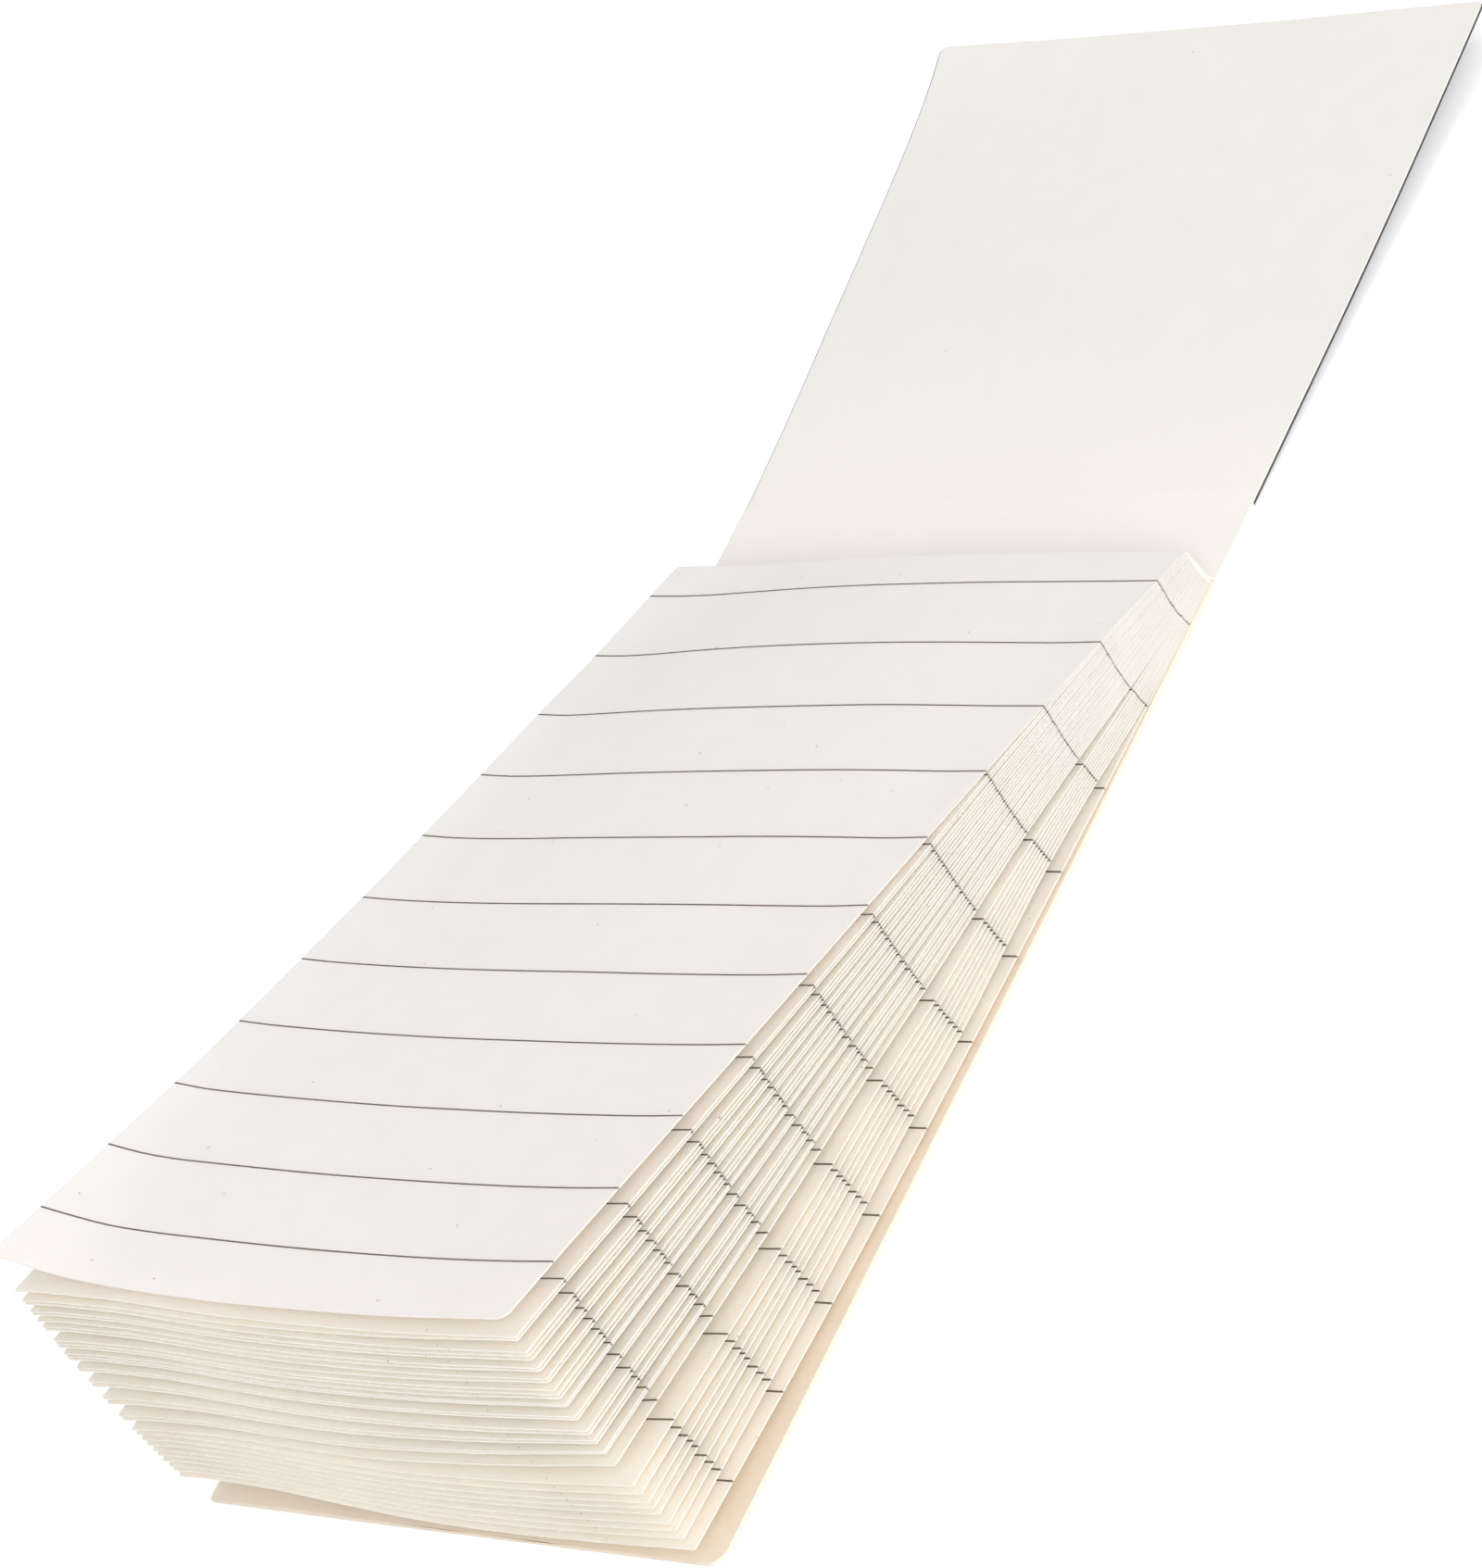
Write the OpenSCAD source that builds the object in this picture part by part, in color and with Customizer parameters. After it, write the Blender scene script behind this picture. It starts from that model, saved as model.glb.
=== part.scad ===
// Small ruled notebook, glued along its short far edge and lying open.
// The back cover lies flat, the front cover is folded back, and the leaves fan apart at the near end.
// X runs across the leaves, +Y towards the bound edge and the front cover, +Z up.
// The origin is the middle of the back cover's underside.

/* [Leaves] */
// Width of a leaf, across the rules
leaf_w = 58; // [40:1:120]
// Length of a leaf, from the bound edge to the loose edge
leaf_l = 90; // [60:1:180]
// Thickness of one leaf
leaf_t = 0.11; // [0.08:0.01:0.2]
// Number of leaves
leaf_count = 33; // [12:1:48]
// Length at the bound edge where the leaves stay pressed together
bond_l = 2.5; // [1:0.5:8]

/* [Fan] */
// Slope of the top leaf where it leaves the bound edge, in degrees
top_slope = 16.4; // [6:0.2:20]
// Slope that the top leaf loses on the way to its loose edge, in degrees
top_droop = 1.2; // [0:0.1:4]
// Slope of the bottom leaf at its loose edge, in degrees
bottom_lift = 3.2; // [0:0.1:4]

/* [Covers] */
// Overhang of both covers past the leaves at each side
side_margin = 0.2; // [0:0.1:2]
// Overhang of the back cover past the loose edge of the leaves
end_margin = 0; // [0:0.1:2]
// Thickness of the back cover
back_t = 0.4; // [0.3:0.05:1]
// Radius of the back cover's worn near right corner
worn_r = 1.6; // [0.5:0.1:5]
// Length of the front cover, from its fold to its free edge
front_l = 49.6; // [30:0.5:90]
// Thickness of the front cover's outer board
front_t = 0.34; // [0.2:0.02:0.6]
// Thickness of the paper that lines the front cover
lining_t = 0.12; // [0.08:0.01:0.2]
// Rim of the board that shows beside the lining
lining_inset = 0.15; // [0:0.05:1]
// Amount that each side of the front cover flares out by its free edge
front_flare = 1.2; // [0:0.1:2]
// Radius of the front cover's free corners
front_corner_r = 1; // [0.5:0.1:5]

/* [Folds] */
// Length of the spine strip, from fold to fold
strip_l = 7; // [6:0.1:15]
// Thickness of the spine strip
strip_t = 0.4; // [0.3:0.02:0.5]
// Gap between the rounded edge of the strip and what it folds against
fold_gap = 0.1; // [0.1:0.05:0.3]
// Thickness of the glue on the bound edge
glue_t = 0.3; // [0.2:0.05:1]
// Angle of the front cover above the table as it lies open, in degrees
open_angle = 4.5; // [0:0.1:10]

/* [Hidden] */

// Gaps between neighbouring leaves at the loose edge, from the bottom leaf up, as shares of the whole fan
leaf_gaps = [
    1.2, 0.9, 0.8, 1.1, 0.6, 0.6, 0.9, 0.9, 2.3, 1.3, 0.1,
    0.9, 0.2, 0.6, 0.3, 1.2, 0.2, 1.1, 0.1, 0.6, 0.3, 0.4,
    0.8, 0.2, 0.8, 0.2, 0.8, 0.3, 0.3, 1.2, 0.2, 1.7
];
// Straight stretches along a leaf's curve
leaf_steps = 6;
// Straight stretches round a corner
corner_steps = 6;
// Sides of a round edge
round_sides = 24;

block_t = leaf_count * leaf_t;
bound_y = (leaf_l + end_margin) / 2;
glue_y = bound_y + glue_t;
strip_r = strip_t / 2;
// The fold beside the block stands clear of the glue and the back cover by the gap
fold_y = glue_y + fold_gap + strip_r;
fold_z = strip_r;
hinge_y = fold_y + strip_l;
near_y = bound_y - leaf_l - end_margin;
side_x = leaf_w / 2 + side_margin;
cover_t = front_t + lining_t;
// The front cover's thickness is centred on the fold's axis
cover_half = cover_t / 2;
// Distance from the fold's axis to the cover's edge, at which the cover folds square both ways
cover_start = max(strip_r, cover_half) + fold_gap;

// Sum of the first n gaps; the list repeats when there are more leaves than it holds
function gap_sum(n) = n == 0 ? 0 : leaf_gaps[(n - 1) % len(leaf_gaps)] + gap_sum(n - 1);
// Share of the fan's opening at leaf i, from 0 at the bottom to 1 at the top
function fan_share(i) = gap_sum(i) / gap_sum(leaf_count - 1);
// Slope of a leaf at distance s from the bound edge
function leaf_slope(u, s) =
    (1 - u) * bottom_lift * s / leaf_l + u * (top_slope - top_droop * s / leaf_l);
// Point on leaf i's lower face at distance s, raised by t square to the leaf
function leaf_point(i, s, t) =
    let (u = fan_share(i), end = leaf_slope(u, s), chord = (leaf_slope(u, 0) + end) / 2)
    [
        bound_y - s * cos(chord) + t * sin(end),
        back_t + i * leaf_t + s * sin(chord) + t * cos(end)
    ];
// Distance of step k along a leaf, from the end of the bond to the loose edge
function step_s(k) = bond_l + (leaf_l - bond_l) * k / leaf_steps;
function lower_face(i) = [for (k = [1:leaf_steps]) leaf_point(i, step_s(k), 0)];
function upper_face(i) = [for (k = [leaf_steps:-1:1]) leaf_point(i, step_s(k), leaf_t)];
// Root of the slit above leaf i
function slit_root(i) = (leaf_point(i, bond_l, leaf_t) + leaf_point(i + 1, bond_l, 0)) / 2;
// Points of a quarter circle about c, from angle a
function corner_arc(c, r, a) =
    [for (k = [0:corner_steps]) c + r * [cos(a + 90 * k / corner_steps), sin(a + 90 * k / corner_steps)]];

// Turns a side profile, drawn as [y, z], into a slab of width w across X
module across(w) {
    rotate([90, 0, 90])
        linear_extrude(height = w, center = true)
            children();
}

// Side profile of all the leaves, a comb whose slits end at the bond
module comb_profile() {
    top = leaf_count - 1;
    polygon(concat(
        [[bound_y, back_t], leaf_point(0, bond_l, 0)],
        [
            for (i = [0:top])
                for (p = concat(lower_face(i), upper_face(i), i < top ? [slit_root(i)] : []))
                    p
        ],
        [leaf_point(top, bond_l, leaf_t), [bound_y, back_t + block_t]]
    ));
}

// Outline of the front cover, drawn from its fold to its free edge, with its sides pulled in by inset
module flap_outline(inset) {
    fold_x = side_x - inset;
    free_x = side_x + front_flare - inset;
    end_y = front_l - front_corner_r;
    polygon(concat(
        [[-fold_x, cover_start], [fold_x, cover_start]],
        corner_arc([free_x - front_corner_r, end_y], front_corner_r, 0),
        corner_arc([front_corner_r - free_x, end_y], front_corner_r, 90)
    ));
}

// Puts a piece that is drawn about the front cover's fold in its open place
module at_front_fold() {
    translate([0, hinge_y, fold_z])
        rotate([open_angle, 0, 0])
            children();
}

module pages() {
    color("ivory")
        across(leaf_w)
            comb_profile();
}

module binding_glue() {
    color("oldlace")
        translate([-leaf_w / 2, bound_y, back_t])
            cube([leaf_w, glue_t, block_t]);
}

module back_cover() {
    color("antiquewhite")
        linear_extrude(height = back_t)
            polygon(concat(
                [[-side_x, near_y]],
                corner_arc([side_x - worn_r, near_y + worn_r], worn_r, -90),
                [[side_x, glue_y], [-side_x, glue_y]]
            ));
}

// The strip's two edges are round about the folds
module spine_strip() {
    color("linen")
        across(2 * side_x)
            union() {
                translate([fold_y, fold_z - strip_r])
                    square([strip_l, strip_t]);
                for (y = [fold_y, hinge_y])
                    translate([y, fold_z])
                        circle(r = strip_r, $fn = round_sides);
            }
}

module front_cover() {
    color("dimgray")
        at_front_fold()
            translate([0, 0, -cover_half])
                linear_extrude(height = front_t)
                    flap_outline(0);
}

module front_lining() {
    color("whitesmoke")
        at_front_fold()
            translate([0, 0, front_t - cover_half])
                linear_extrude(height = lining_t)
                    flap_outline(lining_inset);
}

pages();
binding_glue();
back_cover();
spine_strip();
front_cover();
front_lining();
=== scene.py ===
"""Looks of a small ruled notebook that lies open on a pale table.

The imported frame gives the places. Around it this script builds the leaves, the glue, the covers and the
folds, dresses each one in a procedural finish and lights them softly. The classes hold their sizes in
millimetres, and a mesh is turned into metres when it is made. X runs across the leaves, +Y towards the bound
edge, +Z up.
"""

import logging
import math
from collections.abc import Callable, Sequence
from dataclasses import dataclass
from enum import Enum, IntEnum
from functools import partial

import bpy
import numpy as np
from bpy.types import ID, Material, Node, NodeSocket, Object
from mathutils import Matrix, Vector


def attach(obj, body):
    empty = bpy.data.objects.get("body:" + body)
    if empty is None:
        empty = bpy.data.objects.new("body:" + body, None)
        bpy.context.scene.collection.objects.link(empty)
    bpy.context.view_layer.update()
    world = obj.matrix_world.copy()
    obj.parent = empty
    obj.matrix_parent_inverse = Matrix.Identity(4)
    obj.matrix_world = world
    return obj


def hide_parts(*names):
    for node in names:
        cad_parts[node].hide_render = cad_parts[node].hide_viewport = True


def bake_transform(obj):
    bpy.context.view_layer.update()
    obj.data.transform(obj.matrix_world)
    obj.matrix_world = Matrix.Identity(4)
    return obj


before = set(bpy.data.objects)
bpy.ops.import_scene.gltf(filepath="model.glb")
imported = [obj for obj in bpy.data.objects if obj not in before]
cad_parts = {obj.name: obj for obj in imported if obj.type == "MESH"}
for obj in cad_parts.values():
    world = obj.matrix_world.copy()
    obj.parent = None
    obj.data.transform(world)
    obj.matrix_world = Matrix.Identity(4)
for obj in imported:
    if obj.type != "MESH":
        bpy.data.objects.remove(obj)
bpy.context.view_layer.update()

MM = 0.001
SHADE_TOP = 255.0
WHITE = (1.0, 1.0, 1.0, 1.0)
# Millimetres of flat sheet in one unit of the map
FLAT_MM = 100.0
# Most of a noise's values lie between these
NOISE_LOW, NOISE_HIGH = 0.3, 0.7
# Angles in degrees over which an edge is shown sharp, and over which it can be rounded
SHARP_ANGLE, ROUNDED_ANGLE = 40.0, 50.0
# Shortest length that is divided by
TINY = 1e-6

Array = np.ndarray
Shade = tuple[int, int, int]
Profile = tuple[tuple[float, float], ...]
Value = NodeSocket | float | tuple[float, ...]
Relief = tuple[float, float, NodeSocket]

log = logging.getLogger("notebook")


class Body(Enum):
    """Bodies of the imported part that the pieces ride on."""

    BLOCK = "block"
    SPINE = "spine"
    COVER = "cover"


class Slot(Enum):
    """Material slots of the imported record."""

    LEAF = "leaf_paper"
    GLUE = "glue"
    BACK = "back_card"
    STRIP = "strip_card"
    BOARD = "outer_board"
    LINING = "lining_paper"


class LeafFinish(IntEnum):
    """Places of the finishes in the list of materials that every leaf has."""

    PAPER = 0
    RULE = 1
    RULE_END = 2
    # The cut sides take a copy of the paper painted darker, as painted shade, and the loose edges one painted
    # lighter than the sides, as painted light
    CUT_SIDE = 3
    LOOSE_EDGE = 4


def linear(shade: Shade) -> tuple[float, float, float, float]:
    """Turns a shade as a screen shows it into the light that a shader takes, by the curve of sRGB.

    Args:
        shade: Red, green and blue, from 0 to 255.

    Returns:
        Linear red, green and blue with full alpha.
    """
    parts = [c / SHADE_TOP for c in shade]
    light = [c / 12.92 if c <= 0.04045 else ((c + 0.055) / 1.055) ** 2.4 for c in parts]
    return (light[0], light[1], light[2], 1.0)


def curve_through(stations: Sequence[float], values: Array, at: Array) -> Array:
    """Runs a smooth curve through values at stations.

    Args:
        stations: Rising places of the known values.
        values: One value, or one row of values, for each station.
        at: Places to read the curve at; outside the stations it keeps its end value.

    Returns:
        One value, or one row of values, for each place.
    """
    known = np.asarray(stations, float)
    rows = np.asarray(values, float).reshape(len(known), -1)
    place = np.clip(np.atleast_1d(np.asarray(at, float)), known[0], known[-1])
    slopes = np.gradient(rows, known, axis=0)
    left = np.clip(np.searchsorted(known, place, side="right") - 1, 0, len(known) - 2)
    width = (known[left + 1] - known[left])[:, None]
    t = (place[:, None] - known[left][:, None]) / width
    low, high = rows[left], rows[left + 1]
    made = (
        (2 * t**3 - 3 * t**2 + 1) * low
        + (t**3 - 2 * t**2 + t) * width * slopes[left]
        + (3 * t**2 - 2 * t**3) * high
        + (t**3 - t**2) * width * slopes[left + 1]
    )
    return made if np.asarray(values).ndim > 1 else made[:, 0]


@dataclass(frozen=True)
class LiftTable:
    """How far a sheet stands off its plain place, square to itself, at stations across and along it."""

    across: tuple[float, ...]
    along: tuple[float, ...]
    lifts: tuple[tuple[float, ...], ...]

    def at(self, x: Array, s: float) -> Array:
        """Reads the lift at places across the sheet, at one distance along it."""
        row = curve_through(self.along, np.array(self.lifts), np.array([s]))[0]
        return curve_through(self.across, row, x)


# ---- finishes


class Graph:
    """Adds and joins the nodes of one material, or of the sky."""

    def __init__(self, owner: ID) -> None:
        """Empties the owner's nodes and adds the places that patterns are read at."""
        owner.use_nodes = True
        self.owner = owner
        self.tree = owner.node_tree
        self.tree.nodes.clear()
        self.coords = self.add("ShaderNodeTexCoord")

    def add(self, kind: str, inputs: dict | None = None, settings: dict | None = None) -> Node:
        """Adds a node.

        Args:
            kind: Blender's name for the node.
            inputs: Values or output sockets for its inputs, by name or index.
            settings: Its properties, by name.

        Returns:
            The new node.
        """
        node = self.tree.nodes.new(kind)
        for key, value in (settings or {}).items():
            setattr(node, key, value)
        for key, value in (inputs or {}).items():
            if isinstance(value, NodeSocket):
                self.tree.links.new(value, node.inputs[key])
            else:
                node.inputs[key].default_value = value
        return node

    def sum(self, operation: str, first: Value, second: Value) -> NodeSocket:
        """Does one sum on numbers or sockets and gives its output socket."""
        return self.add("ShaderNodeMath", {0: first, 1: second}, {"operation": operation}).outputs[0]

    def stretched(self, socket: NodeSocket, scale: tuple[float, float, float]) -> NodeSocket:
        """Scales a place along each axis and gives the output socket."""
        return self.add("ShaderNodeVectorMath", {0: socket, 1: scale}, {"operation": "MULTIPLY"}).outputs[0]

    def noise(self, place: NodeSocket, pitch_mm: float, detail: float) -> NodeSocket:
        """Adds a soft random pattern whose blots have that pitch, with detail more layers of finer ones."""
        inputs = {"Vector": place, "Scale": 1.0 / (pitch_mm * MM), "Detail": detail}
        return self.add("ShaderNodeTexNoise", inputs).outputs["Fac"]

    def spread(self, value: NodeSocket, low: float, high: float) -> NodeSocket:
        """Maps a noise onto low to high and gives the output socket."""
        ends = {"From Min": NOISE_LOW, "From Max": NOISE_HIGH, "To Min": low, "To Max": high}
        return self.add("ShaderNodeMapRange", {"Value": value, **ends}).outputs["Result"]

    def blend(self, share: Value, first: Value, second: Value, way: str = "MIX") -> NodeSocket:
        """Mixes two colours, with a share of the second one, and gives the output socket."""
        inputs = {0: share, 6: first, 7: second}
        return self.add("ShaderNodeMix", inputs, {"data_type": "RGBA", "blend_type": way}).outputs[2]

    def seen(self) -> NodeSocket:
        """Gives 1 to the camera's rays and to those that gloss or glass sends on, and 0 to the others."""
        path = self.add("ShaderNodeLightPath")
        sent_on = self.sum("MAXIMUM", path.outputs["Is Glossy Ray"], path.outputs["Is Transmission Ray"])
        return self.sum("MAXIMUM", path.outputs["Is Camera Ray"], sent_on)

    def surface(self, colour: Value, roughness: Value, specular: float, relief: Relief | None = None) -> Node:
        """Adds the main shader.

        Args:
            colour: Its colour or the colour's socket.
            roughness: Its roughness or the roughness's socket.
            specular: Its specular level.
            relief: Strength and depth in millimetres of its bump, and the height's socket.

        Returns:
            The shader's node.
        """
        inputs = {"Base Color": colour, "Roughness": roughness, "Specular IOR Level": specular}
        if relief:
            strength, depth, height = relief
            bump = {"Strength": strength, "Distance": depth * MM, "Height": height}
            inputs["Normal"] = self.add("ShaderNodeBump", bump).outputs[0]
        return self.add("ShaderNodeBsdfPrincipled", inputs)

    def finish(self, shader: Node, kind: str = "ShaderNodeOutputMaterial") -> ID:
        """Joins a shader to the output and gives the material or the sky."""
        self.add(kind, {"Surface": shader.outputs[0]})
        return self.owner


@dataclass(frozen=True)
class PaperFinish:
    """Uncoated paper: soft clouds, fine fibres, a few specks, a soft tooth and some light let through."""

    name: str
    light: Shade
    dark: Shade
    speck_share: float = 0.5
    speck_pitch: float = 7.0
    speck_radius: float = 0.075
    speck: Shade = (150, 142, 132)
    roughness: tuple[float, float] = (0.76, 0.88)
    specular: float = 0.25
    cloud_pitch: float = 3.2
    grain_pitch: float = 0.22
    # The grain's pattern is read at places scaled by this, so it runs along the sheet
    grain_stretch: tuple[float, float, float] = (1.0, 0.35, 1.0)
    grain_shade: float = 0.05
    detail: float = 3.0
    tooth: float = 0.25
    tooth_depth: float = 0.02
    glow: float = 0.2
    through: Shade = (255, 250, 245)
    # Printed dot on the flat sheet: its place across, its distance along and its radius
    dot: tuple[float, float, float] | None = None
    # Shade that a cover's lining has beside its fold, and the distance over which it fades out
    fold_shade: Shade | None = None
    fold_reach: float = 22.0

    def material(self) -> Material:
        """Makes the paper's material."""
        g = Graph(bpy.data.materials.new(self.name))
        place = g.coords.outputs["Object"]
        cloud = g.spread(g.noise(place, self.cloud_pitch, self.detail), 0.0, 1.0)
        colour = g.blend(cloud, linear(self.dark), linear(self.light))
        if self.fold_shade:
            colour = g.blend(self.fold_share(g), colour, linear(self.fold_shade))
        grain = g.noise(g.stretched(place, self.grain_stretch), self.grain_pitch, self.detail)
        colour = g.blend(g.spread(grain, 0.0, self.grain_shade), colour, linear(self.dark), "MULTIPLY")
        colour = g.blend(self.specks(g), colour, linear(self.speck))
        if self.dot:
            colour = g.blend(self.dot_share(g), colour, linear(self.speck))
        relief = (self.tooth, self.tooth_depth, grain)
        shader = g.surface(colour, g.spread(grain, *self.roughness), self.specular, relief)
        through = g.add("ShaderNodeBsdfTranslucent", {"Color": linear(self.through)})
        both = g.add("ShaderNodeMixShader", {0: self.glow, 1: shader.outputs[0], 2: through.outputs[0]})
        return g.finish(both)

    def specks(self, g: Graph) -> NodeSocket:
        """Adds rare tiny specks, placed on the flat sheet.

        Args:
            g: The material's graph.

        Returns:
            The share of speck colour.
        """
        inputs = {"Vector": g.coords.outputs["UV"], "Scale": FLAT_MM / self.speck_pitch, "Randomness": 1.0}
        cells = g.add("ShaderNodeTexVoronoi", inputs, {"voronoi_dimensions": "2D"})
        near = g.sum("LESS_THAN", cells.outputs["Distance"], self.speck_radius / self.speck_pitch)
        tint = g.add("ShaderNodeSeparateColor", {"Color": cells.outputs["Color"]})
        chosen = g.sum("LESS_THAN", tint.outputs[0], self.speck_share)
        return g.sum("MULTIPLY", near, g.sum("MULTIPLY", chosen, tint.outputs[1]))

    def fold_share(self, g: Graph) -> NodeSocket:
        """Adds the soft fade from the fold of a sheet.

        Args:
            g: The material's graph.

        Returns:
            1 beside the fold and 0 from the end of its reach on.
        """
        flat = g.add("ShaderNodeSeparateXYZ", {0: g.coords.outputs["UV"]})
        reach = self.fold_reach / FLAT_MM
        inputs = {"Value": flat.outputs[1], "From Max": reach, "To Min": 1.0, "To Max": 0.0}
        return g.add("ShaderNodeMapRange", inputs, {"interpolation_type": "SMOOTHSTEP"}).outputs["Result"]

    def dot_share(self, g: Graph) -> NodeSocket:
        """Adds the printed dot of a sheet, whose map starts at a whole number.

        Args:
            g: The material's graph.

        Returns:
            1 inside the dot and 0 outside it.
        """
        across, along, radius = (value / FLAT_MM for value in self.dot)
        flat = g.add("ShaderNodeSeparateXYZ", {0: g.coords.outputs["UV"]})
        # The half keeps the jump from one whole number to the next away from the dot
        parts = [g.sum("FRACT", g.sum("ADD", flat.outputs[axis], 0.5), 0.0) for axis in (0, 1)]
        offsets = [g.sum("SUBTRACT", part, (place + 0.5) % 1) for part, place in zip(parts, (across, along))]
        square = [g.sum("MULTIPLY", offset, offset) for offset in offsets]
        return g.sum("LESS_THAN", g.sum("ADD", *square), radius**2)


@dataclass(frozen=True)
class FibreFinish:
    """Pale uncoated card with visible fibres over a cloudy ground."""

    name: str
    ground: Shade
    fibre: Shade
    # Second shade of the ground, in soft clouds
    cloud: Shade | None = None
    cloud_pitch: float = 5.0
    detail: float = 4.0
    fibre_share: float = 0.35
    fibre_pitch: float = 0.35
    # The fibres' pattern is read at places scaled by this, so it runs along the axis with the smallest number
    fibre_stretch: tuple[float, float, float] = (0.3, 1.0, 1.0)
    roughness: tuple[float, float] = (0.78, 0.92)
    specular: float = 0.25
    bump: float = 0.4
    bump_depth: float = 0.03

    def material(self) -> Material:
        """Makes the material."""
        g = Graph(bpy.data.materials.new(self.name))
        place = g.coords.outputs["Object"]
        colour = linear(self.ground)
        if self.cloud:
            clouds = g.spread(g.noise(place, self.cloud_pitch, self.detail), 0.0, 1.0)
            colour = g.blend(clouds, linear(self.cloud), colour)
        fibres = g.noise(g.stretched(place, self.fibre_stretch), self.fibre_pitch, self.detail)
        colour = g.blend(g.spread(fibres, 0.0, self.fibre_share), colour, linear(self.fibre))
        relief = (self.bump, self.bump_depth, fibres)
        return g.finish(g.surface(colour, g.spread(fibres, *self.roughness), self.specular, relief))


@dataclass(frozen=True)
class InkFinish(FibreFinish):
    """Thin printed ink of the rules, a little uneven along its length."""

    detail: float = 3.0
    fibre_share: float = 1.0
    fibre_pitch: float = 0.8
    fibre_stretch: tuple[float, float, float] = (1.0, 1.0, 1.0)
    roughness: tuple[float, float] = (0.6, 0.75)
    specular: float = 0.3
    bump: float = 0.0


@dataclass(frozen=True)
class GlueFinish(FibreFinish):
    """Dried flexible glue: off-white, slightly glossy, brushed along the edge."""

    detail: float = 3.0
    fibre_share: float = 1.0
    fibre_pitch: float = 0.25
    fibre_stretch: tuple[float, float, float] = (0.06, 1.0, 1.0)
    roughness: tuple[float, float] = (0.34, 0.5)
    specular: float = 0.45
    bump: float = 0.5
    bump_depth: float = 0.05


@dataclass(frozen=True)
class BoardFinish:
    """Matt dark covering with a fine pebbled grain."""

    name: str
    dark: Shade
    light: Shade
    grain_pitch: float = 0.45
    # Share of the lighter shade that the grain adds, for each unit of distance from a pebble's middle
    grain_share: float = 0.5
    drift_pitch: float = 4.0
    drift_detail: float = 4.0
    sheen_pitch: float = 1.5
    sheen_detail: float = 3.0
    roughness: tuple[float, float] = (0.5, 0.68)
    specular: float = 0.35
    bump: float = 0.5
    bump_depth: float = 0.04

    def material(self) -> Material:
        """Makes the covering's material."""
        g = Graph(bpy.data.materials.new(self.name))
        place = g.coords.outputs["Object"]
        inputs = {"Vector": place, "Scale": 1.0 / (self.grain_pitch * MM)}
        grain = g.add("ShaderNodeTexVoronoi", inputs, {"feature": "SMOOTH_F1"}).outputs["Distance"]
        drift = g.spread(g.noise(place, self.drift_pitch, self.drift_detail), 0.0, 1.0)
        colour = g.blend(drift, linear(self.dark), linear(self.light))
        colour = g.blend(g.sum("MULTIPLY", grain, self.grain_share), colour, linear(self.light))
        sheen = g.spread(g.noise(place, self.sheen_pitch, self.sheen_detail), *self.roughness)
        return g.finish(g.surface(colour, sheen, self.specular, (self.bump, self.bump_depth, grain)))


@dataclass(frozen=True)
class TableFinish:
    """White table top that keeps soft shadows and shows white where it is fully lit."""

    name: str
    colour: Shade
    added: float

    def material(self) -> Material:
        """Makes the table's material."""
        g = Graph(bpy.data.materials.new(self.name))
        matt = g.add("ShaderNodeBsdfDiffuse", {"Color": linear(self.colour)})
        lift = g.add("ShaderNodeEmission", {"Strength": g.sum("MULTIPLY", g.seen(), self.added)})
        return g.finish(g.add("ShaderNodeAddShader", {0: matt.outputs[0], 1: lift.outputs[0]}))


# ---- meshes


@dataclass
class SheetGrid:
    """Rows and columns of a thin closed sheet.

    left and right give its edges at a distance along it, and place puts flat places in the row frame.
    A wall's finish follows from its row's finish, and both end walls have end_finish.
    """

    rows: list[float]
    columns: list[float]
    left: Callable[[float], float]
    right: Callable[[float], float]
    place: Callable[[Array, float, float], Array]
    thickness: float
    finish_of_row: Sequence[int] = ()
    wall_of_finish: Sequence[int] = (0,)
    end_finish: int = 0
    runs_to_bound_edge: bool = False
    flat_offset: tuple[float, float] = (0.0, 0.0)


def add_object(name: str, data: ID) -> Object:
    """Makes an object of a mesh, a lamp or a camera and puts it in the scene."""
    thing = bpy.data.objects.new(name, data)
    bpy.context.scene.collection.objects.link(thing)
    return thing


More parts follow.
